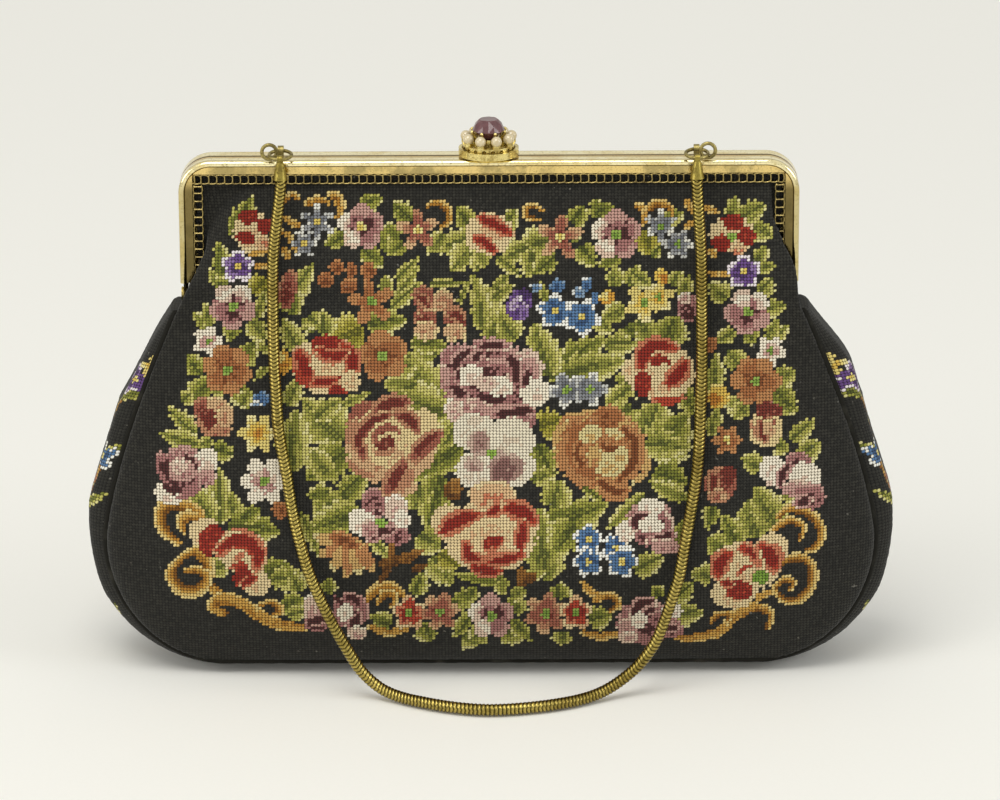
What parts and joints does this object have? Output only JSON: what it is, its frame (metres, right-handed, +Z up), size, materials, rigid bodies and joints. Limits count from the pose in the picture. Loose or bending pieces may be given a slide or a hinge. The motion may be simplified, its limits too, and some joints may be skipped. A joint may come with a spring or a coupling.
{
  "type": "petit point handbag",
  "caption": "Petit point handbag with floral embroidery on black, a hinged gilt frame with pierced trim, a jewelled lift clasp and a snake chain handle.",
  "frame": {"origin": "on the floor under the middle of the flat base", "axes": "+X along the width to the right as seen from the front, +Y from front to back, +Z up"},
  "size_m": [0.224, 0.0814, 0.1536],
  "materials": {
    "embroidery": "petit point wool and silk on black canvas",
    "piping": "corded black cloth",
    "lining": "old satin",
    "gilt": "polished, worn in patches",
    "old_brass": "dulled by age",
    "pearl": "pearly",
    "purple_stone": "faceted"
  },
  "bodies": {
    "bag": {"front_frame": "gilt", "front_ladder_top": "gilt", "front_ladder_left": "gilt", "front_ladder_right": "gilt", "hinge_rivet_left": "gilt", "hinge_rivet_right": "gilt", "front_panel": "embroidery", "back_panel": "embroidery", "gusset": "embroidery", "front_piping": "piping", "back_piping": "piping", "lining_front": "lining", "lining_back": "lining", "lug_left": "old_brass", "lug_right": "old_brass"},
    "back_half": {"back_frame": "gilt", "back_ladder_top": "gilt", "back_ladder_left": "gilt", "back_ladder_right": "gilt", "back_panel_top": "embroidery", "lining_back_top": "lining", "clasp_bracket": "gilt", "clasp_pin": "gilt"},
    "clasp": {"clasp_plate": "gilt", "clasp_gallery": "gilt", "pearl_cups": "gilt", "pearls": "pearl", "stone_crown": "gilt", "stone": "purple_stone"},
    "handle": {"frame_ring_left": "old_brass", "frame_ring_right": "old_brass", "link_ring_left": "old_brass", "link_ring_right": "old_brass", "end_cap_left": "old_brass", "end_cap_right": "old_brass", "chain": "old_brass"}
  },
  "joints": [
    {"name": "frame_hinge", "type": "hinge", "parent": "bag", "child": "back_half", "pos_m": [0, 0, 0.1045], "axis": [-1, 0, 0], "range_deg": [0, 65]},
    {"name": "clasp_lift", "type": "hinge", "parent": "back_half", "child": "clasp", "pos_m": [0, 0.00715, 0.1427], "axis": [-1, 0, 0], "range_deg": [0, 70]},
    {"name": "handle_swing", "type": "hinge", "parent": "bag", "child": "handle", "pos_m": [0, -0.00285, 0.1459], "axis": [-1, 0, 0], "range_deg": [0, 150]}
  ]
}
